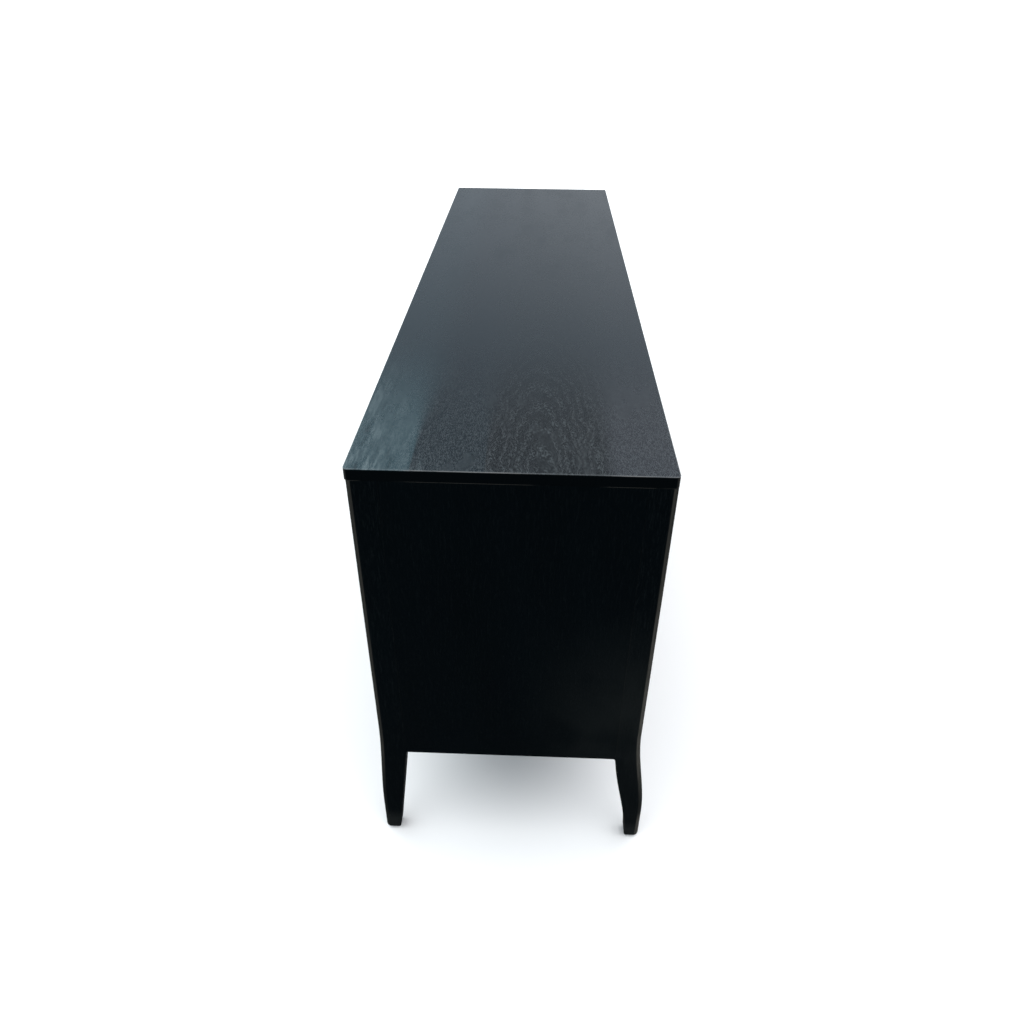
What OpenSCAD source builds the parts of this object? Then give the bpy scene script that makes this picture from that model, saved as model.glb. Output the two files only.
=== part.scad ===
// Long low dresser: a post-and-panel case on sabre legs, with six dovetailed drawers that hang
// on wooden runners. X runs along the length, the front faces -Y and Z is up. The origin is on
// the floor, at the middle of the whole dresser's footprint, pulls and feet included.

/* [Case] */
// Length of the case over its two end faces
case_length = 1790; // [1600:10:1900]
// Depth of the case from its front face to its back face
case_depth = 485; // [460:5:540]
// Height of the top surface above the floor
overall_height = 870; // [840:1:900]
// Clear height between the floor and the case
leg_clearance = 246; // [220:1:260]
// Thickness of the top panel
top_thickness = 20; // [18:1:26]
// How far the top panel passes the back face of the case
back_overhang = 1.5; // [1:0.5:6]
// Radius of the top panel's corners, seen from above
top_corner_r = 8; // [4:0.5:10]
// Radius of the top panel's upper edge
top_edge_r = 1.8; // [1:0.2:3]
// Thickness of the end panels
end_thickness = 20; // [18:1:22]
// Thickness of the centre partition and its stile
partition_thickness = 24; // [20:1:30]
// Thickness of the case's bottom panel
bottom_thickness = 16; // [12:1:18]
// Thickness of the back panel
back_thickness = 6; // [4:1:9]
// How far the back panel sits in from the back face
back_recess = 4; // [2:1:6]
// Radius of the inside corner where the end panel meets a leg
cove_r = 4; // [2:0.5:8]

/* [Rails] */
// Depth of the flat rails behind the front face
rail_depth = 40; // [30:1:50]
// Height of the rail under the top panel
top_rail_h = 22; // [18:1:30]
// Height of the rail under the lowest drawers
bottom_rail_h = 28; // [24:1:36]
// Thickness of the rail under the lowest drawers
bottom_rail_t = 22; // [18:1:26]
// Height of the rails between the drawers
drawer_rail_h = 18; // [16:1:22]
// Height of the two rails behind the back panel
back_rail_h = 60; // [45:1:70]
// Thickness of the two rails behind the back panel
back_rail_t = 20; // [16:1:24]

/* [Legs] */
// Width of a front post, seen from the end of the dresser
front_post_w = 44; // [40:1:50]
// Width of a back post, seen from the end of the dresser
back_post_w = 48; // [40:1:54]
// Thickness of every post along the length of the dresser
post_thickness = 46; // [40:1:54]
// How far the front feet kick out past the front face
front_kick = 22; // [10:1:28]
// How far the back feet kick out past the back face
back_kick = 9; // [7:1:20]
// Width of every foot, seen from the end of the dresser
foot_w = 29; // [26:0.5:34]
// Thickness of every foot along the length of the dresser
foot_thickness = 30; // [26:1:36]
// Radius of each post's outer corner
post_corner_r = 9; // [4:0.5:9]
// Radius under the foot
foot_round = 9; // [3:0.5:9]
// Thickness of the glide under each foot
glide_t = 2.5; // [2:0.5:6]

/* [Drawers] */
// Gap round each drawer front
reveal = 2; // [1.5:0.5:3]
// Thickness of a drawer front
front_t = 20; // [18:1:22]
// Thickness of a drawer's sides and back
side_t = 14; // [13:1:16]
// Height of a drawer's sides
side_h = 140; // [120:1:142]
// Thickness of a drawer's bottom
drawer_bottom_t = 6; // [5:1:8]
// Height of a runner
runner_h = 19; // [14:1:20]
// How far a runner stands into the groove of the drawer side
runner_proud = 8; // [7:0.5:8.5]

/* [Pulls] */
// Length of a pull's bar
pull_length = 196; // [180:1:240]
// Distance between a pull's two sleeves
pull_spacing = 160; // [96:1:160]
// Clear depth for the fingers behind the bar
pull_standoff = 20; // [18:1:24]
// Thickness of the bar, front to back
pull_bar_t = 9; // [8:1:11]
// Height of the bar
pull_bar_h = 13; // [11:1:16]

/* [Hidden] */
COLUMNS = ["left", "right"];
ROWS = ["upper", "middle", "lower"];
DRAWER_PIECES = ["front", "side_left", "side_right", "back", "bottom", "pull", "pull_screws"];
CASE_NODES = [
    "top_panel", "end_panel_left", "end_panel_right",
    "leg_front_left", "leg_front_right", "leg_back_left", "leg_back_right",
    "bottom_panel", "centre_partition", "centre_stile", "front_top_rail", "front_bottom_rail",
    "drawer_rails", "drawer_runners", "back_rails", "back_panel", "floor_glides", "case_screws"
];
function drawer_node(row, column, piece) = str("drawer_", row, "_", column, "_", piece);

$fn = 48;
cut = 1;            // how far a cutting shape runs past the face it cuts
overlap = 0.01;     // how far two parts of one cutting shape run into each other

black_oak = "#1b1d1f";
black_ply = "#232425";
pale_oak = "#c7a272";
birch = "#d9bd92";
bronze = "#5a4a38";
steel = "#a8abad";
nylon = "#34322f";

// Case levels and planes; y is measured back from the front face
body_top = overall_height - top_thickness;
half_length = case_length / 2;
post_inside = half_length - post_thickness;
pull_reach = pull_standoff + pull_bar_t;
front_reach = max(front_kick, pull_reach);
back_reach = max(back_kick, back_overhang);
case_front_y = (front_reach - back_reach - case_depth) / 2;
back_panel_y = case_depth - back_recess - back_thickness;
back_rail_y = back_panel_y - back_rail_t;
back_panel_gap = 1; // between the back panel's edges and the posts and floor rail
bottom_panel_lift = 8;
bottom_panel_z = leg_clearance + bottom_panel_lift;
bottom_panel_top = bottom_panel_z + bottom_thickness;
rail_edge_r = 1.2;
tongue_t = 8;       // the end panels' tongues, let into grooves in the posts
tongue_w = 8;
tongue_gap = 0.3;
tongue_foot = 12;   // height of the shoulder under a tongue

// Sabre legs
sabre_rise = 64;    // how far above the case's underside the kick begins
ankle_h = 80;       // height at which the kick is complete
hollow_rise = 24;   // how far above the case's underside a front leg's hollow begins
below_case = 1;     // from the case's underside down to the first section of the free leg
case_edge_r = 0.6;  // radius of the post edges that meet panels and rails
leg_edge_r = 2.5;   // radius of the same edges on the free leg
edge_blend_h = 24;
corner_steps = 5;
foot_steps = 5;
free_steps = 20;
sabre_steps = 6;
glide_r = 6;
glide_edge = 0.8;

// Drawers; y is measured back from the drawer front's face, z up from its lower edge
opening_w = post_inside - partition_thickness / 2;
front_frame_h = body_top - top_rail_h - leg_clearance - bottom_rail_h;
opening_h = (front_frame_h - 2 * drawer_rail_h) / 3;
front_w = opening_w - 2 * reveal;
front_h = opening_h - 2 * reveal;
front_edge_r = 1.5;
side_lift = 8;      // lower edge of a side above the lower edge of its front
tail_count = 3;     // tails in each dovetailed corner
tail_l = 12;        // how far the tails run into the front
tail_share = 0.66;  // share of the pitch that a tail takes at its shoulder
tail_slope = 1 / 7;
glue_gap = 0.12;
box_back_gap = 34;  // behind a closed drawer, for the back rails and the back panel
box_back = case_depth - box_back_gap;
box_inside_w = front_w - 2 * side_t;
side_edge_r = 2;
floor_lift = 10;    // lower face of a drawer's bottom above the sides' lower edge
floor_groove = 5;
floor_gap = 0.4;
back_foot = floor_lift + drawer_bottom_t;
back_h = side_h - back_foot;
groove_mid = back_foot + back_h / 2;
groove_play = 0.4;
groove_floor_gap = 1;
groove_depth = runner_proud - reveal + groove_floor_gap;

// Runners; they start behind the closed drawer front and end behind the drawer's back
runner_front_gap = 2;
runner_start = front_t + runner_front_gap;
runner_past_box = 2;
runner_end = box_back + runner_past_box;
groove_end_gap = 1; // between a runner's nose and the end of the groove in the drawer side
runner_nose_r = 3;

// Pulls
sleeve_r = 5.5;
sleeve_foot_r = 8;
sleeve_foot_h = 3;
sleeve_gap = 0.1;
bar_edge_r = 2.5;
pull_screw_r = 2;
pull_screw_bite = 5;
pull_head_r = 4;
pull_head_h = 2.6;
bore_play = 0.25;

// Wood screws
screw_r = 2;
screw_head_r = 4;
screw_head_h = 2.2;
screw_play = 0.05;
screw_countersink = 0.3;
screw_well_play = 0.6;
screw_grip = 12;
partition_grip = 9;
back_screw_count = 7;
back_stile_screw_count = 3;
top_screw_count = 6;
top_screw_margin = 120;
back_screw_margin = 40;
runner_screw_margin = 70;

// Solids of a flat outline, along each axis, from 0 to l
module along_x(l) {
    rotate([90, 0, 90]) linear_extrude(l) children();
}
module along_y(l) {
    translate([0, l, 0]) rotate([90, 0, 0]) linear_extrude(l) children();
}

// Rectangle with four round corners
module round_rect(size, r) {
    translate([r, 0]) square([size.x - 2 * r, size.y]);
    translate([0, r]) square([size.x, size.y - 2 * r]);
    for (x = [r, size.x - r], y = [r, size.y - r]) translate([x, y]) circle(r);
}

// Rectangle whose two lower corners are round
module eased_rect(size, r) {
    translate([r, 0]) square([size.x - 2 * r, size.y]);
    translate([0, r]) square([size.x, size.y - r]);
    for (x = [r, size.x - r]) translate([x, r]) circle(r);
}

// Moves shapes given from the front face of the case to their place
module in_case() {
    translate([0, case_front_y, 0]) children();
}

// ---- Legs ----

function ease(t) = let (u = min(1, max(0, t))) u * u * (3 - 2 * u);

// How far the outer edge of a leg stands out at height z
function leg_kick(z, kick) =
    kick * ease((leg_clearance + sabre_rise - z) / (leg_clearance + sabre_rise - ankle_h));

// Distance of the inner edge from the face of the case: hollowed on a front leg, straight on a back leg
function leg_inner(z, post_w, kick, hollow) =
    let (
        fall = post_w + kick - foot_w,
        hollow_t = ease((leg_clearance + hollow_rise - z) / (leg_clearance + hollow_rise)),
        straight_t = (leg_clearance - z) / leg_clearance
    )
    z >= leg_clearance ? post_w : post_w - fall * (hollow ? hollow_t : straight_t);

function leg_thickness(z) =
    z >= leg_clearance ? post_thickness
    : foot_thickness + (post_thickness - foot_thickness) * z / leg_clearance;

function leg_edge(z) = case_edge_r + (leg_edge_r - case_edge_r) * ease((leg_clearance - z) / edge_blend_h);

// One quarter of a section's outline, round the corner's centre
function corner_arc(centre, r, start, z) = [
    for (i = [0 : corner_steps])
        let (a = start + 90 * i / corner_steps)
        [centre.x + r * cos(a), centre.y + r * sin(a), z]
];

// A section through the leg; x runs in from the end of the case and y back from its face
function leg_section(z, inset, post_w, kick, hollow) =
    let (
        x0 = inset,
        x1 = leg_thickness(z) - inset,
        y0 = inset - leg_kick(z, kick),
        y1 = leg_inner(z, post_w, kick, hollow) - inset,
        ro = max(leg_edge_r, post_corner_r - inset),
        re = leg_edge(z)
    )
    concat(
        corner_arc([x0 + ro, y0 + ro], ro, 180, z),
        corner_arc([x1 - re, y0 + re], re, 270, z),
        corner_arc([x1 - re, y1 - re], re, 0, z),
        corner_arc([x0 + re, y1 - re], re, 90, z)
    );

// [height, inset] of each section, from the foot to the top of the post
leg_levels = concat(
    [
        for (i = [0 : foot_steps])
            let (a = 90 * i / foot_steps)
            [glide_t + foot_round * (1 - cos(a)), foot_round * (1 - sin(a))]
    ],
    [
        for (i = [1 : free_steps])
            let (z0 = glide_t + foot_round)
            [z0 + (leg_clearance - below_case - z0) * i / free_steps, 0]
    ],
    [for (i = [0 : sabre_steps]) [leg_clearance + sabre_rise * i / sabre_steps, 0]],
    [[body_top, 0]]
);

// Skin over a stack of sections that all have n points
module loft(sections) {
    n = len(sections[0]);
    rows = len(sections);
    points = [for (section = sections, p = section) p];
    sides = [
        for (k = [0 : rows - 2], i = [0 : n - 1])
            let (j = (i + 1) % n, a = k * n, b = (k + 1) * n)
            each [[a + i, b + i, b + j], [a + i, b + j, a + j]]
    ];
    foot = [[for (i = [0 : n - 1]) i]];
    head = [[for (i = [n - 1 : -1 : 0]) (rows - 1) * n + i]];
    polyhedron(points, concat(sides, foot, head));
}

// A leg at the corner x = 0, y = 0, with the groove for the end panel's tongue
module leg(post_w, kick, hollow) {
    groove_z = leg_clearance + tongue_foot - tongue_gap;
    color(black_oak) difference() {
        loft([for (level = leg_levels) leg_section(level[0], level[1], post_w, kick, hollow)]);
        translate([
            (end_thickness - tongue_t) / 2 - tongue_gap,
            post_w - tongue_w - tongue_gap,
            groove_z
        ])
            cube([tongue_t + 2 * tongue_gap, tongue_w + tongue_gap + cut, body_top - groove_z + cut]);
    }
}

module front_leg_corner() {
    leg(front_post_w, front_kick, true);
}

module back_leg_corner() {
    translate([0, case_depth, 0]) mirror([0, 1, 0]) leg(back_post_w, back_kick, false);
}

// Puts a shape drawn at the end x = 0 on the left end of the case
module at_left_end() {
    in_case() translate([-half_length, 0, 0]) children();
}

// The same at the right end, mirrored
module at_right_end() {
    in_case() translate([half_length, 0, 0]) mirror([1, 0, 0]) children();
}

module leg_front_left() {
    at_left_end() front_leg_corner();
}
module leg_front_right() {
    at_right_end() front_leg_corner();
}
module leg_back_left() {
    at_left_end() back_leg_corner();
}
module leg_back_right() {
    at_right_end() back_leg_corner();
}

// Glide with a small bevel round its lower rim
module glide() {
    rotate_extrude() polygon([
        [0, 0],
        [glide_r - glide_edge, 0],
        [glide_r, glide_edge],
        [glide_r, glide_t],
        [0, glide_t]
    ]);
}

module floor_glides() {
    mid_x = half_length - foot_thickness / 2;
    mid_front = foot_w / 2 - front_kick;
    mid_back = case_depth + back_kick - foot_w / 2;
    color(nylon) in_case() for (x = [-mid_x, mid_x], y = [mid_front, mid_back])
        translate([x, y, 0]) glide();
}

// ---- Case ----

module top_panel() {
    depth = case_depth + back_overhang;
    color(black_oak) in_case() difference() {
        translate([-half_length, 0, body_top]) intersection() {
            linear_extrude(top_thickness) round_rect([case_length, depth], top_corner_r);
            translate([0, 0, top_thickness]) mirror([0, 0, 1])
                along_x(case_length) eased_rect([depth, top_thickness], top_edge_r);
            translate([0, 0, top_thickness]) mirror([0, 0, 1])
                along_y(depth) eased_rect([case_length, top_thickness], top_edge_r);
        }
        top_screw_places() screw_shank_bore(top_screw_l());
    }
}

// End panel at the corner x = 0: flush with the posts, tongued into both, coved into both legs
module end_panel() {
    y0 = front_post_w;
    y1 = case_depth - back_post_w;
    h = body_top - leg_clearance;
    color(black_oak) difference() {
        union() {
            translate([0, y0, leg_clearance]) cube([end_thickness, y1 - y0, h]);
            translate([(end_thickness - tongue_t) / 2, y0 - tongue_w, leg_clearance + tongue_foot])
                cube([tongue_t, y1 - y0 + 2 * tongue_w, h - tongue_foot]);
            translate([0, y0, leg_clearance]) end_cove();
            translate([0, y1, leg_clearance]) mirror([0, 1, 0]) end_cove();
        }
        for (row = [0 : 2]) translate([0, 0, runner_z(row) + runner_h / 2])
            outer_runner_screws_at_end() screw_shank_bore(outer_screw_l());
    }
}

// Small cove that hangs below the panel, beside a leg
module end_cove() {
    along_x(end_thickness) difference() {
        translate([0, -cove_r]) square(cove_r);
        translate([cove_r, -cove_r]) circle(cove_r);
    }
}

module end_panel_left() {
    at_left_end() end_panel();
}
module end_panel_right() {
    at_right_end() end_panel();
}

module bottom_panel() {
    inside = half_length - end_thickness;
    color(black_ply) in_case() difference() {
        translate([-inside, bottom_rail_t, bottom_panel_z])
            cube([2 * inside, back_rail_y - bottom_rail_t, bottom_thickness]);
        for (x = [-half_length - cut, post_inside]) {
            translate([x, 0, bottom_panel_z - cut])
                cube([post_thickness + cut, front_post_w, bottom_thickness + 2 * cut]);
            translate([x, case_depth - back_post_w, bottom_panel_z - cut])
                cube([post_thickness + cut, back_post_w, bottom_thickness + 2 * cut]);
        }
    }
}

// Partition behind the stile, notched round the two back rails
module centre_partition() {
    t = partition_thickness;
    color(black_ply) in_case() difference() {
        translate([-t / 2, rail_depth, bottom_panel_top])
            cube([t, back_panel_y - rail_depth, body_top - bottom_panel_top]);
        for (z = [leg_clearance, body_top - back_rail_h])
            translate([-t / 2 - cut, back_rail_y, z - cut])
                cube([t + 2 * cut, back_rail_t + cut, back_rail_h + 2 * cut]);
        inner_runner_screw_places() screw_shank_bore(inner_screw_l());
        back_stile_screw_places() screw_shank_bore(back_screw_l());
    }
}

module centre_stile() {
    z0 = leg_clearance + bottom_rail_h;
    color(black_oak) in_case() translate([-partition_thickness / 2, 0, z0])
        linear_extrude(front_frame_h) eased_rect([partition_thickness, rail_depth], rail_edge_r);
}

// Rail from x0 to x1, eased along its two front edges
module front_rail(x0, x1, z, h, depth) {
    translate([x0, 0, z]) along_x(x1 - x0) rail_profile(depth, h);
}

module rail_profile(depth, h) {
    translate([rail_edge_r, 0]) square([depth - rail_edge_r, h]);
    translate([0, rail_edge_r]) square([depth, h - 2 * rail_edge_r]);
    for (z = [rail_edge_r, h - rail_edge_r]) translate([rail_edge_r, z]) circle(rail_edge_r);
}

module front_top_rail() {
    color(black_oak) in_case() difference() {
        front_rail(-post_inside, post_inside, body_top - top_rail_h, top_rail_h, rail_depth);
        top_screw_places() screw_bore(top_screw_l());
    }
}

module front_bottom_rail() {
    color(black_oak) in_case()
        front_rail(-post_inside, post_inside, leg_clearance, bottom_rail_h, bottom_rail_t);
}

module drawer_rails() {
    color(black_oak) in_case() for (row = [0 : 1]) {
        z = opening_z(row) - drawer_rail_h;
        front_rail(-post_inside, -partition_thickness / 2, z, drawer_rail_h, rail_depth);
        front_rail(partition_thickness / 2, post_inside, z, drawer_rail_h, rail_depth);
    }
}

module back_rails() {
    color(black_ply) in_case() difference() {
        for (z = [leg_clearance, body_top - back_rail_h])
            translate([-post_inside, back_rail_y, z]) cube([2 * post_inside, back_rail_t, back_rail_h]);
        back_rail_screw_places() screw_shank_bore(back_screw_l());
        top_screw_places() screw_bore(top_screw_l());
        top_screw_places() translate([0, 0, top_rail_h - back_rail_h - cut])
            cylinder(h = back_rail_h - top_rail_h + cut, r = screw_head_r + screw_well_play);
    }
}

module back_panel() {
    x = post_inside - back_panel_gap;
    z = leg_clearance + back_panel_gap;
    color(black_ply) in_case() difference() {
        translate([-x, back_panel_y, z]) cube([2 * x, back_thickness, body_top - z]);
        back_rail_screw_places() screw_bore(back_screw_l());
        back_stile_screw_places() screw_bore(back_screw_l());
    }
}

// ---- Runners ----

// Height of the lower face of the runners in a row
function runner_z(row) = opening_z(row) + reveal + side_lift + groove_mid - runner_h / 2;

// Strip against the plane x = 0, standing out along +x
module runner_strip() {
    translate([0, runner_start, 0]) linear_extrude(runner_h)
        eased_rect([runner_proud, runner_end - runner_start], runner_nose_r);
}

// Runner at the end x = 0 of the case: the strip laps the posts, and a block behind it fills the
// space between them as far as the end panel
module outer_runner() {
    difference() {
        union() {
            translate([post_thickness, 0, 0]) runner_strip();
            translate([end_thickness, front_post_w + cut, 0]) cube([
                post_thickness - end_thickness + runner_proud / 2,
                case_depth - front_post_w - back_post_w - 2 * cut,
                runner_h
            ]);
        }
        translate([0, 0, runner_h / 2]) outer_runner_screws_at_end() screw_bore(outer_screw_l());
    }
}

module drawer_runners() {
    color(pale_oak) {
        for (row = [0 : 2]) {
            at_left_end() translate([0, 0, runner_z(row)]) outer_runner();
            at_right_end() translate([0, 0, runner_z(row)]) outer_runner();
        }
        in_case() difference() {
            for (row = [0 : 2], side = [0, 1]) mirror([side, 0, 0])
                translate([partition_thickness / 2, 0, runner_z(row)]) runner_strip();
            inner_runner_screw_places() screw_bore(inner_screw_l());
        }
    }
}

// ---- Screws ----
// A screw points along +z from the outer face of its head, which lies at z = 0

function top_screw_l() = top_rail_h + screw_grip;
function back_screw_l() = back_thickness + screw_grip;
function outer_screw_l() = runner_proud + post_thickness - end_thickness + screw_grip;
function inner_screw_l() = runner_proud + partition_grip;

module screw(l) {
    translate([0, 0, screw_countersink]) {
        cylinder(h = screw_head_h, r1 = screw_head_r, r2 = screw_r);
        translate([0, 0, screw_head_h]) cylinder(h = l - screw_head_h, r = screw_r);
    }
}

// Hole for a screw's shank alone, and the same with its countersink
module screw_shank_bore(l) {
    cylinder(h = l + cut, r = screw_r + screw_play);
}
module screw_bore(l) {
    screw_shank_bore(l);
    wide = screw_head_r + screw_play * 2;
    translate([0, 0, screw_countersink]) cylinder(h = screw_head_h, r1 = wide, r2 = screw_r + screw_play);
    translate([0, 0, -cut]) cylinder(h = screw_countersink + cut + overlap, r = wide);
}

// Upwards through the front and back top rails, clear of the stile
module top_screw_places() {
    run = 2 * (post_inside - top_screw_margin);
    for (i = [0 : top_screw_count - 1], y = [rail_depth / 2, back_rail_y + back_rail_t / 2]) {
        x = run * (i / (top_screw_count - 1) - 0.5);
        translate([x, y, body_top - top_rail_h]) children();
    }
}

// Forwards through the back panel into the two back rails
module back_rail_screw_places() {
    run = 2 * (post_inside - back_screw_margin);
    for (i = [0 : back_screw_count - 1])
        for (z = [leg_clearance + back_rail_h / 2, body_top - back_rail_h / 2])
            translate([-run / 2 + run * i / (back_screw_count - 1), back_panel_y + back_thickness, z])
                rotate([90, 0, 0]) children();
}

// Forwards through the back panel into the partition
module back_stile_screw_places() {
    low = leg_clearance + back_rail_h;
    run = body_top - back_rail_h - low;
    for (i = [1 : back_stile_screw_count])
        translate([0, back_panel_y + back_thickness, low + run * i / (back_stile_screw_count + 1)])
            rotate([90, 0, 0]) children();
}

function runner_screw_ys() = [
    front_post_w + runner_screw_margin,
    case_depth - back_post_w - runner_screw_margin
];

// Outwards through an outer runner into the end panel at x = 0
module outer_runner_screws_at_end() {
    for (y = runner_screw_ys())
        translate([post_thickness + runner_proud, y, 0]) rotate([0, -90, 0]) children();
}

// Inwards through the runners on both faces of the partition
module inner_runner_screw_places() {
    for (row = [0 : 2], side = [0, 1], y = runner_screw_ys())
        mirror([side, 0, 0])
            translate([partition_thickness / 2 + runner_proud, y, runner_z(row) + runner_h / 2])
                rotate([0, -90, 0]) children();
}

module case_screws() {
    color(steel) {
        in_case() {
            top_screw_places() screw(top_screw_l());
            back_rail_screw_places() screw(back_screw_l());
            back_stile_screw_places() screw(back_screw_l());
            inner_runner_screw_places() screw(inner_screw_l());
        }
        for (row = [0 : 2]) {
            at_left_end() translate([0, 0, runner_z(row) + runner_h / 2])
                outer_runner_screws_at_end() screw(outer_screw_l());
            at_right_end() translate([0, 0, runner_z(row) + runner_h / 2])
                outer_runner_screws_at_end() screw(outer_screw_l());
        }
    }
}

// ---- Drawers ----

// Lower edge of an opening; row 0 is the upper row
function opening_z(row) = leg_clearance + bottom_rail_h + (2 - row) * (opening_h + drawer_rail_h);

// Moves a shape drawn for one drawer to its opening
module in_opening(row, column) {
    x = (partition_thickness / 2 + opening_w / 2) * (column == 0 ? -1 : 1);
    in_case() translate([x, 0, opening_z(row) + reveal]) children();
}

// Row of dovetails over the height h: x runs from the shoulder, at 0, to the wide end, at l
module tails(h, l, grow = 0) {
    pitch = h / tail_count;
    half = pitch * tail_share / 2 + grow;
    flare = l * tail_slope;
    for (i = [0 : tail_count - 1]) {
        z = pitch * (i + 0.5);
        wide = half + flare;
        polygon([[-grow, z - half], [l + grow, z - wide], [l + grow, z + wide], [-grow, z + half]]);
    }
}

// Face of a drawer side: y from the tails in the front to the tails in the back
module side_face() {
    shoulder = box_back - side_t;
    translate([front_t, 0]) square([shoulder - front_t, side_h]);
    translate([front_t, 0]) mirror([1, 0]) tails(side_h, tail_l);
    translate([shoulder, back_foot]) tails(back_h, side_t);
    translate([shoulder, 0]) square([side_t, back_foot - glue_gap]);
}

module drawer_front() {
    color(black_oak) difference() {
        translate([-front_w / 2, 0, 0]) intersection() {
            linear_extrude(front_h) eased_rect([front_w, front_t], front_edge_r);
            along_x(front_w) rail_profile(front_t, front_h);
        }
        for (side = [0, 1]) mirror([side, 0, 0])
            translate([front_w / 2 - side_t - glue_gap, front_t, side_lift]) along_x(side_t + cut)
                mirror([1, 0]) tails(side_h, tail_l, glue_gap);
        translate([-box_inside_w / 2 - floor_groove, front_t - floor_groove, side_lift + floor_lift])
            cube([box_inside_w + 2 * floor_groove, floor_groove + cut, drawer_bottom_t]);
        pull_places() translate([0, front_t + cut, 0]) rotate([90, 0, 0])
            cylinder(h = front_t + 2 * cut, r = pull_screw_r + bore_play);
    }
}

// The drawer's side at +x; the groove in its outer face takes the runner
module drawer_side() {
    groove_h = runner_h + 2 * groove_play;
    color(birch) translate([front_w / 2 - side_t, 0, side_lift]) difference() {
        intersection() {
            along_x(side_t) side_face();
            translate([0, 0, side_h]) mirror([0, 0, 1])
                along_y(box_back) eased_rect([side_t, side_h], side_edge_r);
        }
        translate([side_t - groove_depth, runner_start - groove_end_gap, groove_mid - groove_h / 2])
            cube([groove_depth + cut, box_back, groove_h]);
        translate([-cut, front_t - floor_groove, floor_lift])
            cube([floor_groove + cut, box_back, drawer_bottom_t]);
    }
}

module drawer_back() {
    color(birch) difference() {
        translate([-front_w / 2, box_back - side_t, side_lift + back_foot]) intersection() {
            cube([front_w, side_t, back_h]);
            translate([0, 0, back_h]) mirror([0, 0, 1])
                along_x(front_w) eased_rect([side_t, back_h], side_edge_r);
        }
        for (side = [0, 1]) mirror([side, 0, 0])
            translate([front_w / 2 - side_t - glue_gap, box_back - side_t, side_lift + back_foot])
                along_x(side_t + cut) tails(back_h, side_t + cut, glue_gap);
    }
}

module drawer_bottom() {
    reach = box_inside_w / 2 + floor_groove - floor_gap;
    y0 = front_t - floor_groove + floor_gap;
    t = drawer_bottom_t - floor_gap / 2;
    color(birch) translate([-reach, y0, side_lift + floor_lift]) cube([2 * reach, box_back - y0, t]);
}

// The two places where a pull's sleeves stand on the drawer front
module pull_places() {
    for (x = [-pull_spacing / 2, pull_spacing / 2]) translate([x, 0, front_h / 2]) children();
}

module drawer_pull() {
    color(bronze) {
        difference() {
            translate([-pull_length / 2, -pull_reach, (front_h - pull_bar_h) / 2]) intersection() {
                along_x(pull_length) round_rect([pull_bar_t, pull_bar_h], bar_edge_r);
                linear_extrude(pull_bar_h) round_rect([pull_length, pull_bar_t], bar_edge_r);
            }
            pull_places() rotate([90, 0, 0])
                cylinder(h = pull_standoff + pull_screw_bite + cut, r = pull_screw_r + bore_play / 2);
        }
        pull_places() rotate([90, 0, 0]) pull_sleeve();
    }
}

// Turned sleeve between the drawer front and the bar, standing along +z
module pull_sleeve() {
    waist = sleeve_foot_h + sleeve_foot_r - sleeve_r;
    rotate_extrude() polygon([
        [pull_screw_r + bore_play, 0],
        [sleeve_foot_r, 0],
        [sleeve_foot_r, sleeve_foot_h],
        [sleeve_r, waist],
        [sleeve_r, pull_standoff - sleeve_gap],
        [pull_screw_r + bore_play, pull_standoff - sleeve_gap]
    ]);
}

module drawer_pull_screws() {
    color(steel) pull_places() {
        translate([0, front_t, 0]) rotate([90, 0, 0])
            cylinder(h = front_t + pull_standoff + pull_screw_bite, r = pull_screw_r);
        translate([0, front_t + pull_head_h, 0]) rotate([90, 0, 0])
            cylinder(h = pull_head_h, r = pull_head_r);
    }
}

top_panel();
end_panel_left();
end_panel_right();
leg_front_left();
leg_front_right();
leg_back_left();
leg_back_right();
bottom_panel();
centre_partition();
centre_stile();
front_top_rail();
front_bottom_rail();
drawer_rails();
drawer_runners();
back_rails();
back_panel();
floor_glides();
case_screws();
for (row = [0 : 2], column = [0, 1]) {
    r = ROWS[row];
    c = COLUMNS[column];
    in_opening(row, column) drawer_front();
    in_opening(row, column) mirror([1, 0, 0]) drawer_side();
    in_opening(row, column) drawer_side();
    in_opening(row, column) drawer_back();
    in_opening(row, column) drawer_bottom();
    in_opening(row, column) drawer_pull();
    in_opening(row, column) drawer_pull_screws();
}
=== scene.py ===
"""Dresser with drawers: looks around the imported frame. Lengths are in metres, in the frame's own axes."""

import math

import bmesh
import bpy
from mathutils import Matrix, Vector


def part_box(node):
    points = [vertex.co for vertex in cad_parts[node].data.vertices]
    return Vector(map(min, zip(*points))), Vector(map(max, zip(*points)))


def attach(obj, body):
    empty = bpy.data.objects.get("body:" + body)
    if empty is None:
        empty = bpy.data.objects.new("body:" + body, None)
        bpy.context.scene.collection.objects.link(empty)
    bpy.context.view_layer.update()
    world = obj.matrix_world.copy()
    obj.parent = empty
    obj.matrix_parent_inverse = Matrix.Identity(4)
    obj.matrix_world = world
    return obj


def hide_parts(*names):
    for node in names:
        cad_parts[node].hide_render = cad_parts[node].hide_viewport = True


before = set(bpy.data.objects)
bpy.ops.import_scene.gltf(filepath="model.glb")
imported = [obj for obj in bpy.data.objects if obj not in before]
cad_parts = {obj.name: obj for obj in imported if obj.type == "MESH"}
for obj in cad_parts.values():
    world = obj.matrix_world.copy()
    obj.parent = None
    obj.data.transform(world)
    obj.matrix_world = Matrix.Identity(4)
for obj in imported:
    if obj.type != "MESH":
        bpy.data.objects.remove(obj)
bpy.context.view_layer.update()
TOP_LOW, TOP_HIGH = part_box("top_panel")
MM = 0.001

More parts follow.
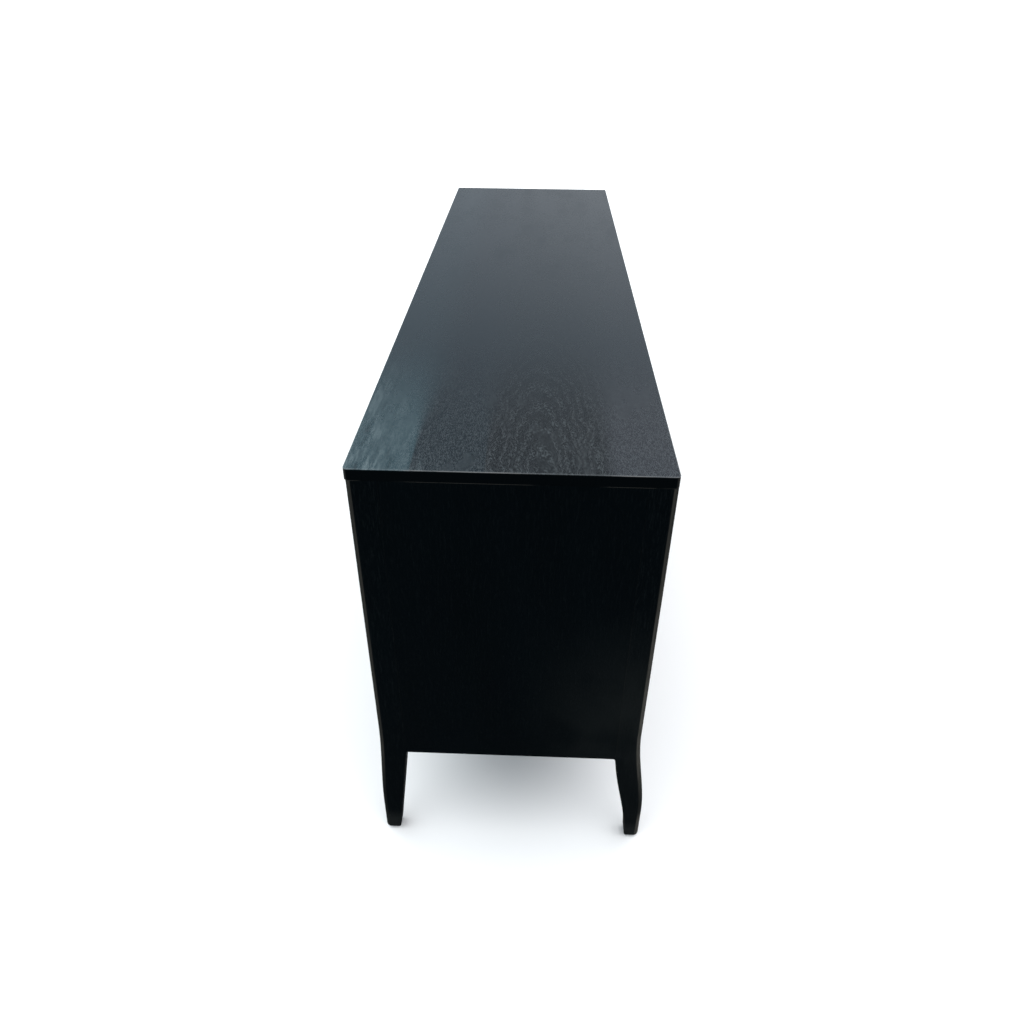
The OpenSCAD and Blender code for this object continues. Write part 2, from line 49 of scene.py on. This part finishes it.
ROWS = ("upper", "middle", "lower")
COLUMNS = ("left", "right")
LEGS = ("leg_front_left", "leg_front_right", "leg_back_left", "leg_back_right")
ENDS = ("end_panel_left", "end_panel_right")
FRONT_RAILS = ("front_top_rail", "front_bottom_rail", "drawer_rails")
PLYWOOD = ("bottom_panel", "centre_partition", "back_rails", "back_panel")


# ---- Camera, light and floor ----

# The camera stands off the left end, a little to the front of the middle, and above the top
CAMERA_STANDOFF = 0.946
CAMERA_TO_FRONT = 0.0338
CAMERA_ABOVE_TOP = 0.586
CAMERA_HEADING = math.radians(-88.10)
CAMERA_TILT = math.radians(55.38)
CAMERA_ROLL = math.radians(0.47)
SENSOR_MM = 36
LENS_MM = 27.42
NEAREST_SEEN = 0.05
FARTHEST_SEEN = 100

# Light from the studio's walls: on the camera's left (+Y) and right (-Y), low down, and overhead
LEFT_WALL = (1.18, 1.34, 1.41, 1)
RIGHT_WALL = (0.98, 1.02, 1.08, 1)
LOW_WALL_LEFT = (0.43, 0.475, 0.53, 1)
LOW_WALL_RIGHT = (0.63, 0.665, 0.71, 1)
CEILING = (0.165, 0.184, 0.206, 1)
HORIZON = (1, 1, 1, 1)

# Where each of those lights fades in and where it is full, as the y or the z of a unit direction
LEFT_WALL_Y = (0.12, 0.55)
RIGHT_WALL_Y = (-0.1, -0.5)
LOW_WALL_TURN_Y = (0.2, -0.2)
LOW_WALL_Z = (0.58, 0.2)
HORIZON_Z = (0.1, 0.02)

LAMP_STRENGTH = 3.2
LAMP_SPREAD = math.radians(88)
FLOOR_SIZE = 800
FLOOR_WHITE = (0.9, 0.9, 0.9, 1)


def add_camera():
    """A hand-held camera that stands off the left end of the dresser and looks down along it."""
    middle_y = (TOP_LOW.y + TOP_HIGH.y) / 2
    eye = Vector((TOP_LOW.x - CAMERA_STANDOFF, middle_y - CAMERA_TO_FRONT, TOP_HIGH.z + CAMERA_ABOVE_TOP))
    heading = Matrix.Rotation(CAMERA_HEADING, 4, "Z")
    tilt = Matrix.Rotation(CAMERA_TILT, 4, "X")
    roll = Matrix.Rotation(CAMERA_ROLL, 4, "Z")
    camera = bpy.data.objects.new("camera", bpy.data.cameras.new("camera"))
    bpy.context.collection.objects.link(camera)
    camera.matrix_world = Matrix.Translation(eye) @ heading @ tilt @ roll
    camera.data.sensor_width = SENSOR_MM
    camera.data.lens = LENS_MM
    camera.data.clip_start = NEAREST_SEEN
    camera.data.clip_end = FARTHEST_SEEN
    bpy.context.scene.camera = camera


def add_world():
    """Studio walls: bright on both sides, greyer low down, dark overhead and white at the horizon."""
    world = bpy.data.worlds.new("studio")
    bpy.context.scene.world = world
    world.use_nodes = True
    studio = Nodes(world.node_tree)
    direction = studio.add("TexCoord").outputs["Generated"]
    side, height = studio.xyz(direction)[1:]
    low_wall = studio.blend(studio.ramp(side, *LOW_WALL_TURN_Y), LOW_WALL_LEFT, LOW_WALL_RIGHT)
    walls = studio.blend(studio.ramp(side, *LEFT_WALL_Y), CEILING, LEFT_WALL)
    walls = studio.blend(studio.ramp(side, *RIGHT_WALL_Y), walls, RIGHT_WALL)
    walls = studio.blend(studio.ramp(height, *LOW_WALL_Z), walls, low_wall)
    walls = studio.blend(studio.ramp(height, *HORIZON_Z), walls, HORIZON)
    background = world.node_tree.nodes["Background"]
    studio.feed(background.inputs["Color"], walls)
    background.inputs["Strength"].default_value = 1.0


def add_lamp():
    """One wide soft light from straight above."""
    lamp = bpy.data.lights.new("overhead", "SUN")
    lamp.energy = LAMP_STRENGTH
    lamp.angle = LAMP_SPREAD
    holder = bpy.data.objects.new("overhead", lamp)
    bpy.context.collection.objects.link(holder)


def add_floor():
    """A pale matt floor that runs on to the horizon."""
    bpy.ops.mesh.primitive_plane_add(size=FLOOR_SIZE)
    floor = bpy.context.object
    floor.name = "floor"
    paint = Shader("floor_paint", roughness=0.9)
    paint.set("Base Color", FLOOR_WHITE)
    paint.set("Specular IOR Level", 0.1)
    floor.data.materials.append(paint.material)


# ---- Nodes ----

class Nodes:
    """A short call for each node that the patterns need."""

    def __init__(self, tree):
        self.tree = tree

    def feed(self, socket, value):
        """Gives a socket a number, a colour or another node's output."""
        if isinstance(value, bpy.types.NodeSocket):
            self.tree.links.new(value, socket)
        else:
            socket.default_value = value

    def add(self, kind, values=(), **settings):
        node = self.tree.nodes.new("ShaderNode" + kind)
        for key, value in settings.items():
            setattr(node, key, value)
        for socket, value in dict(values).items():
            self.feed(node.inputs[socket], value)
        return node

    def math(self, operation, *values):
        node = self.add("Math", operation=operation)
        for i, value in enumerate(values):
            self.feed(node.inputs[i], value)
        return node.outputs[0]

    def sum(self, a, b):
        return self.math("ADD", a, b)

    def times(self, a, b):
        return self.math("MULTIPLY", a, b)

    def larger(self, a, b):
        return self.math("MAXIMUM", a, b)

    def from_one(self, a):
        """What is left of 1 when a is taken away."""
        return self.math("SUBTRACT", 1.0, a)

    def xyz(self, vector):
        return list(self.add("SeparateXYZ", {"Vector": vector}).outputs)

    def vector(self, x, y, z):
        return self.add("CombineXYZ", {"X": x, "Y": y, "Z": z}).outputs[0]

    def place(self):
        """The point's own coordinates x, y, z in metres."""
        return self.xyz(self.add("TexCoord").outputs["Object"])

    def cells(self, per_metre):
        """The point's own coordinates as one vector, counted in cells of which so many fit in a metre."""
        return self.vector(*[self.times(part, per_metre) for part in self.place()])

    def facing(self):
        """The x, y and z of the direction that the surface faces."""
        return self.xyz(self.add("NewGeometry").outputs["Normal"])

    def noise(self, vector, detail, roughness=0.5):
        """Noise of scale 1 over the given vector, from 0 to 1."""
        values = {"Vector": vector, "Scale": 1.0, "Detail": detail, "Roughness": roughness}
        return self.add("TexNoise", values).outputs["Fac"]

    def ramp(self, value, low, high, start=0.0, end=1.0):
        """Smooth step from start, where value is low, to end, where it is high."""
        values = {"Value": value, "From Min": low, "From Max": high, "To Min": start, "To Max": end}
        return self.add("MapRange", values, interpolation_type="SMOOTHSTEP").outputs["Result"]

    def blend(self, factor, a, b):
        """Colour a where factor is 0 and b where it is 1."""
        node = self.add("Mix", data_type="RGBA")
        self.feed(node.inputs["Factor"], factor)
        self.feed(node.inputs[6], a)
        self.feed(node.inputs[7], b)
        return node.outputs[2]

    def bump(self, height, distance, strength):
        values = {"Height": height, "Distance": distance, "Strength": strength}
        return self.add("Bump", values).outputs["Normal"]


class Shader(Nodes):
    """A Principled material and its nodes."""

    def __init__(self, name, roughness=0.5, metallic=0.0):
        self.material = bpy.data.materials.new(name)
        self.material.use_nodes = True
        super().__init__(self.material.node_tree)
        self.surface = self.tree.nodes["Principled BSDF"]
        self.set("Roughness", roughness)
        self.set("Metallic", metallic)

    def set(self, socket, value):
        self.feed(self.surface.inputs[socket], value)


# ---- Patterns ----

# How widely the pore noise spreads about its middle, and how soft a pore's edge is
PORE_NOISE_SPREAD = 0.36
PORE_EDGE = 0.07
# How far the growth rings wander from true arches
RING_WANDER = 0.045
# The shares of a year's growth over which its earlywood band comes up and then fades out
RING_RISE = (0.0, 0.2)
RING_FADE = (0.35, 0.9)


def grain_axes(shade, axes):
    """Coordinates along the grain, across the face and through it; "xy" is a face with its grain on x."""
    place = dict(zip("xyz", shade.place()))
    through = next(axis for axis in "xyz" if axis not in axes)
    return place[axes[0]], place[axes[1]], place[through]


def patches(shade, face, length, width, detail, roughness=0.5):
    """Noise in patches that are length long on the face's first axis and width wide on the other two."""
    along, across, through = face
    cells = shade.vector(
        shade.times(along, 1 / length), shade.times(across, 1 / width), shade.times(through, 1 / width)
    )
    return shade.noise(cells, detail, roughness)


def ring_radius(shade, face, centre, pith, taper):
    """How far each point of a flat-sawn face lies from the log's heart; equal radii draw nested arches."""
    grain, across = face[:2]
    wander = patches(shade, face, length=0.12, width=0.03, detail=3)
    off = shade.times(shade.sum(wander, -0.5), RING_WANDER)
    side = shade.sum(shade.sum(across, -centre), off)
    depth = shade.times(shade.sum(grain, -pith), taper)
    return shade.math("SQRT", shade.sum(shade.times(side, side), shade.times(depth, depth)))


def growth_rings(shade, radius, spacing):
    """Earlywood bands, from 0 to 1, one for each year's growth: they start sharply and fade out."""
    phase = shade.math("FRACT", shade.times(radius, 1 / spacing))
    return shade.times(shade.ramp(phase, *RING_RISE), shade.ramp(phase, *RING_FADE, start=1.0, end=0.0))


def pores(shade, face, length, width, share):
    """Short open pores along the grain, from 0 to 1; share is about how much of the face they take."""
    field = patches(shade, face, length, width, detail=1.5, roughness=0.6)
    edge = 0.5 + (0.5 - share) * PORE_NOISE_SPREAD
    return shade.ramp(field, edge, edge + PORE_EDGE)


def pits(shade, open_pores):
    """The bump of open pores: shallow pits in the lacquer."""
    return shade.bump(shade.times(open_pores, -1.0), distance=0.2 * MM, strength=0.4)


def flecks(shade, cell, radius, share):
    """Small round marks, one at most in each cell, in about the given share of the cells."""
    marks = shade.add("TexVoronoi", {"Vector": shade.cells(1 / cell), "Scale": 1.0}).outputs
    chosen = shade.ramp(shade.xyz(marks["Color"])[0], 1 - share, 1 - share + 0.01)
    return shade.times(chosen, shade.ramp(marks["Distance"], radius / cell, 0.5 * radius / cell))


def arris(shade, start, full):
    """1 on rounded edges and corners, where the surface turns away from all three axes."""
    x, y, z = [shade.math("ABSOLUTE", part) for part in shade.facing()]
    flat = shade.larger(shade.larger(x, y), z)
    return shade.ramp(shade.from_one(flat), start, full)


def outward(shade):
    """1 where the surface looks straight out to the case's front or back, and -1 where it looks in."""
    return shade.times(shade.math("SIGN", shade.place()[1]), shade.facing()[1])


# ---- Black oak ----

STAIN = (0.0004, 0.0010, 0.0014, 1)
CLOUDED_STAIN = (0.0008, 0.0018, 0.0025, 1)
# A painted sheen: a greyer stain that stands in for light on faces that look to the front and back
PAINTED_SHEEN_GREY = (0.0085, 0.0132, 0.0158, 1)
BARE_OAK = (0.021, 0.0205, 0.0185, 1)
# Bare oak painted lighter: painted light on the front posts' lower edges
BARE_OAK_PAINTED_LIT = (0.046, 0.044, 0.039, 1)
PORE_GREY = (0.018, 0.022, 0.024, 1)
# Painted reflection of the floor on the lower front corners, and the colour of the feet's scuffs
REFLECTION_AND_SCUFF_GREY = (0.009, 0.0105, 0.0105, 1)
CHIP_WHITE = (0.62, 0.58, 0.52, 1)
LACQUER_TINT = (0.7, 0.92, 1.0, 1)

# The top's four veneer leaves, counted from the front: the y of each seam between two of them, how soft
# each seam is at the left end, and each leaf's tone
LEAF_SEAMS = (-0.134, 0.049, 0.157)
SEAM_WIDTHS = (0.016, 0.0015, 0.0015)
LACQUERED_SEAM_WIDTH = 0.045
LEAF_TINTS = (
    (0.014, 0.016, 0.020, 1),
    (0.001, 0.002, 0.003, 1),
    (0.001, 0.005, 0.008, 1),
    (0.015, 0.035, 0.043, 1),
)
# The x between which the lacquer thins out towards the left end, for the seams, the tones and the pores,
# and what shows of the tones and the pores under the full lacquer
SEAM_X = (-0.85, -0.5)
TONE_X = (-0.38, -0.82)
PORE_X = (-0.4, -0.86)
FAINT = 0.15
# How clearly the top's pores show: all of them, those in a growth ring, and those off the flat-sawn leaf
ALL_PORES = 0.15
RING_PORES = 0.4
PLAIN_PORES = 0.3
# How widely the top's grain sways
GRAIN_SWAY = 0.03
# The top's soiling would start at the first y and be full at the second half-way along its length, and
# each metre to the left brings both y nearer to the front by the slant
SOILED_Y = (0.36, 0.52)
SOILED_SLANT = 0.3
# The veneer's own look starts at the first depth below the upper face and is full at the second, and the
# lower arris's pale line, partly wear and partly a painted highlight, does the same at its heights above the
# lower face
UPPER_FACE_DEPTHS = (2.0 * MM, 0.5 * MM)
LOWER_ARRIS_HEIGHTS = (1.0 * MM, 0.3 * MM)
FULL_LACQUER = (0.007, 0.013, 0.018, 1)
TOP_PORE_GREY = (0.12, 0.15, 0.16, 1)
SMEAR_GREY = (0.10, 0.135, 0.145, 1)
GRIME = (0.001, 0.008, 0.012, 1)
# The upper arris's pale line: partly worn lacquer, partly a painted highlight
TOP_ARRIS_GREY = (0.12, 0.115, 0.11, 1)
DUST_WHITE = (0.5, 0.5, 0.48, 1)
TOP_LACQUER_TINT = (0.82, 0.92, 1.0, 1)
TOP_GLOSS = 0.5
TOP_EDGE_GLOSS = 0.006


def painted_sheen(shade, stain, share=1.0):
    """Painted sheen: the stain greyed by the given share on faces that look straight out to the front and
    the back.
    """
    return shade.blend(shade.times(shade.ramp(outward(shade), 0.8, 1.0), share), stain, PAINTED_SHEEN_GREY)


def past_seam(shade, face, seam):
    """0 before a seam of the top and 1 past it; crisp at the left end and soft under the full lacquer."""
    grain, across = face[:2]
    soft = shade.ramp(grain, *SEAM_X, start=SEAM_WIDTHS[seam], end=LACQUERED_SEAM_WIDTH)
    past = shade.math("DIVIDE", shade.sum(across, -LEAF_SEAMS[seam]), soft)
    return shade.ramp(past, -1.0, 1.0)


def leaf_tones(shade, face):
    """The tones of the four leaves, which show through at the left end, where the lacquer is thin."""
    grain = face[0]
    tint = LEAF_TINTS[0]
    for seam, next_tint in enumerate(LEAF_TINTS[1:]):
        tint = shade.blend(past_seam(shade, face, seam), tint, next_tint)
    thin = shade.ramp(grain, *TONE_X, start=FAINT)
    return shade.blend(thin, FULL_LACQUER, tint)


def top_pores(shade, face):
    """The top's open pores: nested arches on the flat-sawn second leaf, and fine flecks all over."""
    grain, across, through = face
    sway = patches(shade, face, length=0.06, width=0.10, detail=2)
    curled = shade.sum(across, shade.times(shade.sum(sway, -0.5), GRAIN_SWAY))
    curled_face = (grain, curled, through)
    radius = ring_radius(shade, curled_face, centre=-0.03, pith=-1.0, taper=0.15)
    arched_face = (grain, radius, shade.times(curled, 0.3))
    fine = pores(shade, curled_face, length=4.0 * MM, width=0.8 * MM, share=0.44)
    arched = pores(shade, arched_face, length=7.0 * MM, width=0.9 * MM, share=0.44)
    rings = growth_rings(shade, radius, spacing=11.0 * MM)
    before_second_seam = shade.from_one(past_seam(shade, face, 1))
    flat_sawn = shade.times(past_seam(shade, face, 0), before_second_seam)
    figured = shade.times(arched, shade.sum(shade.times(rings, RING_PORES), ALL_PORES))
    straight = shade.times(shade.from_one(flat_sawn), PLAIN_PORES)
    plain = shade.times(fine, shade.sum(straight, ALL_PORES))
    open_pores = shade.sum(shade.times(figured, flat_sawn), plain)
    return shade.times(open_pores, shade.ramp(grain, *PORE_X, start=FAINT))


def soiled_corner(shade, face, wood):
    """The pale smears and the dark grime on the top's left back corner."""
    grain, across = face[:2]
    smears = patches(shade, face, length=0.09, width=0.012, detail=5, roughness=0.7)
    corner = shade.ramp(shade.sum(across, shade.times(grain, -SOILED_SLANT)), *SOILED_Y)
    rubbed = shade.times(shade.ramp(smears, 0.45, 0.62), corner)
    grimy = shade.times(shade.ramp(smears, 0.46, 0.32), corner)
    wood = shade.blend(shade.times(rubbed, 0.6), wood, SMEAR_GREY)
    return shade.blend(shade.times(grimy, 0.75), wood, GRIME)


def top_edges(shade, face, wood, upper):
    """The top's edges below its upper face: stained as the case is, with a painted sheen on the faces that
    look to the front and back, and paler along both arrises, partly worn and partly a painted highlight.
    """
    grain, across, through = face
    # Painted sheen on the edge faces that look to the front and back
    wood = shade.blend(upper, painted_sheen(shade, STAIN), wood)
    rubbed = patches(shade, (across, grain, through), length=0.14, width=0.3, detail=5, roughness=0.65)
    uneven = shade.ramp(rubbed, 0.42, 0.6, start=0.05, end=0.7)
    # Partly wear, partly a painted highlight along the upper arris
    pale_edges = shade.times(arris(shade, start=0.03, full=0.15), uneven)
    wood = shade.blend(pale_edges, wood, shade.blend(upper, BARE_OAK, TOP_ARRIS_GREY))
    # The lower arris's pale line: partly wear, partly a painted highlight on the sharp edge
    lower = shade.ramp(shade.place()[2], *[TOP_LOW.z + height for height in LOWER_ARRIS_HEIGHTS])
    return shade.blend(shade.times(lower, shade.ramp(rubbed, 0.42, 0.55)), wood, BARE_OAK)


def black_oak_top():
    """The top's veneer: four leaves, whose tones and figure show most at its left end."""
    shade = Shader("black_oak_top")
    face = grain_axes(shade, "xy")
    grain, across, through = face
    open_pores = top_pores(shade, face)
    upper = shade.ramp(shade.place()[2], *[TOP_HIGH.z - depth for depth in UPPER_FACE_DEPTHS])
    wood = shade.blend(shade.times(open_pores, 0.37), leaf_tones(shade, face), TOP_PORE_GREY)
    wood = soiled_corner(shade, face, wood)
    wood = top_edges(shade, face, wood, upper)
    dust = flecks(shade, cell=0.13, radius=0.8 * MM, share=0.35)
    shade.set("Base Color", shade.blend(dust, wood, DUST_WHITE))
    cloud = patches(shade, face, length=0.3, width=0.07, detail=4)
    haze = patches(shade, (across, grain, through), length=0.05, width=0.12, detail=5, roughness=0.65)
    rough = shade.sum(shade.times(open_pores, 0.2), shade.sum(shade.times(cloud, 0.08), 0.22))
    shade.set("Roughness", shade.sum(rough, shade.times(shade.ramp(haze, 0.45, 0.75), 0.04)))
    shade.set("Specular IOR Level", shade.ramp(upper, 0.0, 1.0, start=TOP_EDGE_GLOSS, end=TOP_GLOSS))
    shade.set("Specular Tint", TOP_LACQUER_TINT)
    shade.set("Normal", pits(shade, open_pores))
    return shade.material


BLOTCHES_PER_METRE = 9
# Each of these looks starts at its first height or y and is full at its second
REFLECTION_BELOW = (0.66, 0.34)
REFLECTION_ABOVE_LEGS = (0.16, 0.3)
REFLECTION_FRONT_Y = (0.02, -0.22)
SCUFFS_BELOW = (0.085, 0.035)
WORN_FOOT_BELOW = (0.10, 0.05)
# Below this pair of heights the pale edges are dimmed by painted shade
WEAR_UNSHADED_ABOVE = (0.12, 0.26)
# Below this pair of heights the front posts' pale edges are made paler by painted light
WEAR_PAINTED_LIT_BELOW = (0.8, 0.3)
FRONT_POST_Y = (0.1, -0.1)


def floor_reflection_and_scuffs(shade):
    """A painted reflection of the floor on the lower front corner of each end, and the scuffs low on the
    feet.
    """
    depth, height = shade.place()[1:]
    cloud = shade.noise(shade.cells(BLOTCHES_PER_METRE), detail=3)
    low = shade.times(shade.ramp(height, *REFLECTION_BELOW), shade.ramp(height, *REFLECTION_ABOVE_LEGS, start=0.4))
    corner = shade.times(shade.ramp(depth, *REFLECTION_FRONT_Y), low)
    reflected = shade.times(corner, shade.ramp(cloud, 0.3, 0.6, start=0.25, end=0.6))
    scuffed = shade.ramp(shade.sum(height, shade.times(cloud, 0.03)), *SCUFFS_BELOW)
    return shade.larger(reflected, scuffed)


def pale_oak_edges(shade, face, wood, front_post):
    """Lacquer rubbed off the outer rounded edges, dimmed near the floor by painted shade but for the front
    posts' feet, and painted lighter low on the front posts as painted light.
    """
    height = shade.place()[2]
    rubbed = patches(shade, face, length=0.06, width=0.004, detail=4, roughness=0.7)
    pale_edges = shade.times(arris(shade, start=0.001, full=0.03), shade.ramp(rubbed, 0.35, 0.6, start=0.6))
    pale_edges = shade.times(pale_edges, shade.ramp(outward(shade), 0.0, 0.1, start=0.12))
    rubbed_foot = shade.times(shade.ramp(height, *WORN_FOOT_BELOW), front_post)
    # Painted shade: the pale edges dim towards the floor
    post_unshaded = shade.ramp(height, *WEAR_UNSHADED_ABOVE, start=0.25)
    pale_edges = shade.times(pale_edges, shade.larger(post_unshaded, rubbed_foot))
    # Painted light: the front posts' pale edges are paler low down
    edge_colour = shade.blend(shade.times(shade.ramp(height, *WEAR_PAINTED_LIT_BELOW), front_post), BARE_OAK, BARE_OAK_PAINTED_LIT)
    return shade.blend(pale_edges, wood, edge_colour)


def black_oak(name, axes, gloss, roughness, pore_light, centre=0.6, reflection_and_scuffs=0.0, post=0.0):
    """Black-stained oak under a matt lacquer; post is 1 for the posts, which get a painted sheen, painted
    light and shade on their pale edges, and the most knocks.
    """
    shade = Shader(name)
    face = grain_axes(shade, axes)
    rings = growth_rings(shade, ring_radius(shade, face, centre, pith=0.0, taper=0.04), spacing=7.5 * MM)
    fine = pores(shade, face, length=8.0 * MM, width=0.7 * MM, share=0.35)
    coarse = pores(shade, face, length=20.0 * MM, width=1.6 * MM, share=0.3)
    open_pores = shade.times(shade.larger(fine, coarse), shade.sum(shade.times(rings, 0.7), 0.2))
    cloud = patches(shade, face, length=0.4, width=0.1, detail=4)
    # Painted sheen on the posts' faces that look to the front and back
    wood = painted_sheen(shade, shade.blend(cloud, STAIN, CLOUDED_STAIN), post)
    wood = shade.blend(shade.times(open_pores, pore_light), wood, PORE_GREY)
    # Painted reflection of the floor low at the front, and scuffs on the feet
    wood = shade.blend(shade.times(floor_reflection_and_scuffs(shade), reflection_and_scuffs), wood, REFLECTION_AND_SCUFF_GREY)
    front_post = shade.times(shade.ramp(shade.place()[1], *FRONT_POST_Y), post)
    wood = pale_oak_edges(shade, face, wood, front_post)
    marks = flecks(shade, cell=28.0 * MM, radius=2.2 * MM, share=0.22)
    chips = shade.times(marks, arris(shade, start=0.0005, full=0.01))
    shade.set("Base Color", shade.blend(shade.times(chips, post), wood, CHIP_WHITE))
    rough = shade.sum(shade.times(open_pores, 0.15), shade.sum(shade.times(cloud, 0.12), roughness - 0.06))
    shade.set("Roughness", rough)
    shade.set("Specular IOR Level", gloss)
    shade.set("Specular Tint", LACQUER_TINT)
    shade.set("Normal", pits(shade, open_pores))
    return shade.material


# ---- Pale wood, metal and plastic ----

RUNNER_OAK = (0.5, 0.33, 0.18, 1)
RUNNER_OAK_DARK = (0.36, 0.22, 0.11, 1)
BIRCH = (0.66, 0.5, 0.32, 1)
BIRCH_DARK = (0.5, 0.35, 0.2, 1)
BIRCH_PLY = (0.7, 0.55, 0.38, 1)
BIRCH_PLY_DARK = (0.58, 0.43, 0.27, 1)
BRONZE = (0.07, 0.052, 0.038, 1)
RUBBED_BRONZE = (0.2, 0.14, 0.085, 1)
DULL_ZINC = (0.25, 0.25, 0.26, 1)
DULL_ZINC_WORN = (0.14, 0.14, 0.14, 1)
BRIGHT_ZINC = (0.55, 0.55, 0.57, 1)
BRIGHT_ZINC_WORN = (0.42, 0.42, 0.42, 1)
NYLON = (0.03, 0.03, 0.03, 1)
NYLON_SPECKLE = (0.12, 0.12, 0.12, 1)
SPOTS_PER_METRE = 160
SPECKLES_PER_METRE = 900


def darker(colour, share):
    """The colour with each of its parts cut down to the given share."""
    return tuple(share * part for part in colour[:3]) + (1,)


def plain_wood(name, axes, light, dark):
    """Clear-lacquered pale wood with fine straight grain."""
    shade = Shader(name)
    face = grain_axes(shade, axes)
    streaks = patches(shade, face, length=0.25, width=0.006, detail=5, roughness=0.6)
    cloud = patches(shade, face, length=0.4, width=0.08, detail=2)
    open_pores = pores(shade, face, length=5.0 * MM, width=0.5 * MM, share=0.25)
    wood = shade.blend(shade.ramp(streaks, 0.3, 0.7), light, dark)
    wood = shade.blend(shade.times(cloud, 0.35), wood, dark)
    wood = shade.blend(shade.times(open_pores, 0.25), wood, darker(dark, 0.5))
    rubbed = shade.times(arris(shade, start=0.02, full=0.2), shade.ramp(cloud, 0.3, 0.6, start=0.2, end=0.6))
    shade.set("Base Color", shade.blend(rubbed, wood, darker(dark, 0.75)))
    shade.set("Roughness", shade.sum(shade.times(streaks, 0.15), 0.45))
    height = shade.sum(streaks, shade.times(open_pores, -0.5))
    shade.set("Normal", shade.bump(height, distance=0.1 * MM, strength=0.4))
    return shade.material


def metal(name, colour, roughness, worn_colour):
    """Metal with a slightly uneven finish, which shows its worn colour in spots and along its edges."""
    shade = Shader(name, metallic=1.0)
    mottle = shade.noise(shade.cells(SPOTS_PER_METRE), detail=6)
    rubbed = shade.times(arris(shade, start=0.05, full=0.25), shade.ramp(mottle, 0.35, 0.6, start=0.3))
    uneven = shade.ramp(mottle, 0.35, 0.85, end=0.45)
    shade.set("Base Color", shade.blend(shade.larger(rubbed, uneven), colour, worn_colour))
    shade.set("Roughness", shade.sum(shade.times(mottle, 0.2), roughness - 0.1))
    shade.set("Normal", shade.bump(mottle, distance=0.1 * MM, strength=0.2))
    return shade.material


def matt_plastic(name, colour, speckle_colour):
    """Moulded plastic with a fine grain."""
    shade = Shader(name)
    speckle = shade.noise(shade.cells(SPECKLES_PER_METRE), detail=2)
    shade.set("Base Color", shade.blend(shade.times(speckle, 0.3), colour, speckle_colour))
    shade.set("Roughness", shade.sum(shade.times(speckle, 0.15), 0.5))
    shade.set("Normal", shade.bump(speckle, distance=0.1 * MM, strength=0.2))
    return shade.material


# ---- Pieces ----

# Facets that meet at less than this angle are shaded as one smooth surface
CREASE = math.radians(32)
MERGE_DISTANCE = 0.01 * MM


def dress(node, material):
    """Gives a CAD node its material."""
    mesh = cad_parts[node].data
    mesh.materials.clear()
    mesh.materials.append(material)


def smooth_copy(node, body, material):
    """A copy of a CAD node, joined up and shaded as one smooth skin, which stands for the node."""
    mesh = bpy.data.meshes.new(node + "_skin")
    work = bmesh.new()
    work.from_mesh(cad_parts[node].data)
    bmesh.ops.remove_doubles(work, verts=work.verts, dist=MERGE_DISTANCE)
    for face in work.faces:
        face.smooth = True
    for edge in work.edges:
        edge.smooth = len(edge.link_faces) == 2 and edge.calc_face_angle() < CREASE
    work.to_mesh(mesh)
    work.free()
    mesh.materials.clear()
    mesh.materials.append(material)
    piece = bpy.data.objects.new(node + "_skin", mesh)
    bpy.context.collection.objects.link(piece)
    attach(piece, body)
    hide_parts(node)


def finish_case():
    """The case: black oak outside, black plywood behind and inside, oak runners, screws and glides."""
    dress("top_panel", black_oak_top())
    end = black_oak("black_oak_end", "zy", gloss=0.004, roughness=0.55, pore_light=0.06, reflection_and_scuffs=0.8)
    for node in ENDS:
        dress(node, end)
    leg = black_oak(
        "black_oak_leg", "zy", gloss=0.004, roughness=0.55, pore_light=0.12, reflection_and_scuffs=0.9, post=1.0
    )
    for node in LEGS:
        smooth_copy(node, "case", leg)
    rail = black_oak("black_oak_rail", "xz", gloss=0.14, roughness=0.4, pore_light=0.5)
    for node in FRONT_RAILS:
        dress(node, rail)
    dress("centre_stile", black_oak("black_oak_stile", "zx", gloss=0.14, roughness=0.4, pore_light=0.5))
    ply = black_oak("black_ply", "xz", gloss=0.2, roughness=0.5, pore_light=0.8, centre=0.45)
    for node in PLYWOOD:
        dress(node, ply)
    dress("drawer_runners", plain_wood("runner_oak", "yz", RUNNER_OAK, RUNNER_OAK_DARK))
    dress("floor_glides", matt_plastic("glide_nylon", NYLON, NYLON_SPECKLE))
    dress("case_screws", metal("zinc_screw", DULL_ZINC, roughness=0.4, worn_colour=DULL_ZINC_WORN))


def finish_drawers():
    """The six drawers: black oak fronts on birch boxes, with bronze pulls."""
    side = plain_wood("birch_side", "yz", BIRCH, BIRCH_DARK)
    looks = {
        "front": black_oak("black_oak_front", "xz", gloss=0.16, roughness=0.4, pore_light=0.7, centre=0.5),
        "side_left": side,
        "side_right": side,
        "back": plain_wood("birch_back", "xz", BIRCH, BIRCH_DARK),
        "bottom": plain_wood("birch_ply", "xy", BIRCH_PLY, BIRCH_PLY_DARK),
        "pull": metal("aged_bronze", BRONZE, roughness=0.42, worn_colour=RUBBED_BRONZE),
        "pull_screws": metal("zinc_machine_screw", BRIGHT_ZINC, roughness=0.3, worn_colour=BRIGHT_ZINC_WORN),
    }
    for row in ROWS:
        for column in COLUMNS:
            for piece, material in looks.items():
                dress(f"drawer_{row}_{column}_{piece}", material)


bpy.context.scene.view_settings.view_transform = "Standard"
add_camera()
add_world()
add_lamp()
add_floor()
finish_case()
finish_drawers()
